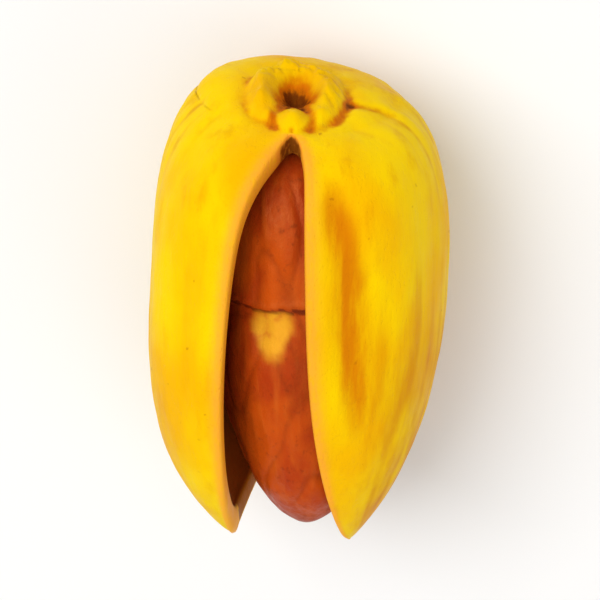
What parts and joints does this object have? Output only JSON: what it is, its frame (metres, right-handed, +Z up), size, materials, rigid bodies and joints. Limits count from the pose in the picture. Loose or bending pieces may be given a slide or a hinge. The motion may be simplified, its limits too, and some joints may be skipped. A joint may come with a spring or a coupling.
{
  "type": "pistachio in shell",
  "caption": "Whole pistachio nut: a hard shell split along its suture, with the loose kernel showing inside.",
  "frame": {"origin": "on the surface that the nut lies on, under the middle of its bounding box", "axes": "+Z up, out of the split; +Y along the nut, towards the stem end; +X across the two valves"},
  "size_m": [0.0122, 0.0198, 0.012],
  "materials": {
    "shell": "satin",
    "kernel": "satin"
  },
  "bodies": {
    "root": {"shell": "shell", "kernel": "kernel"}
  },
  "joints": []
}
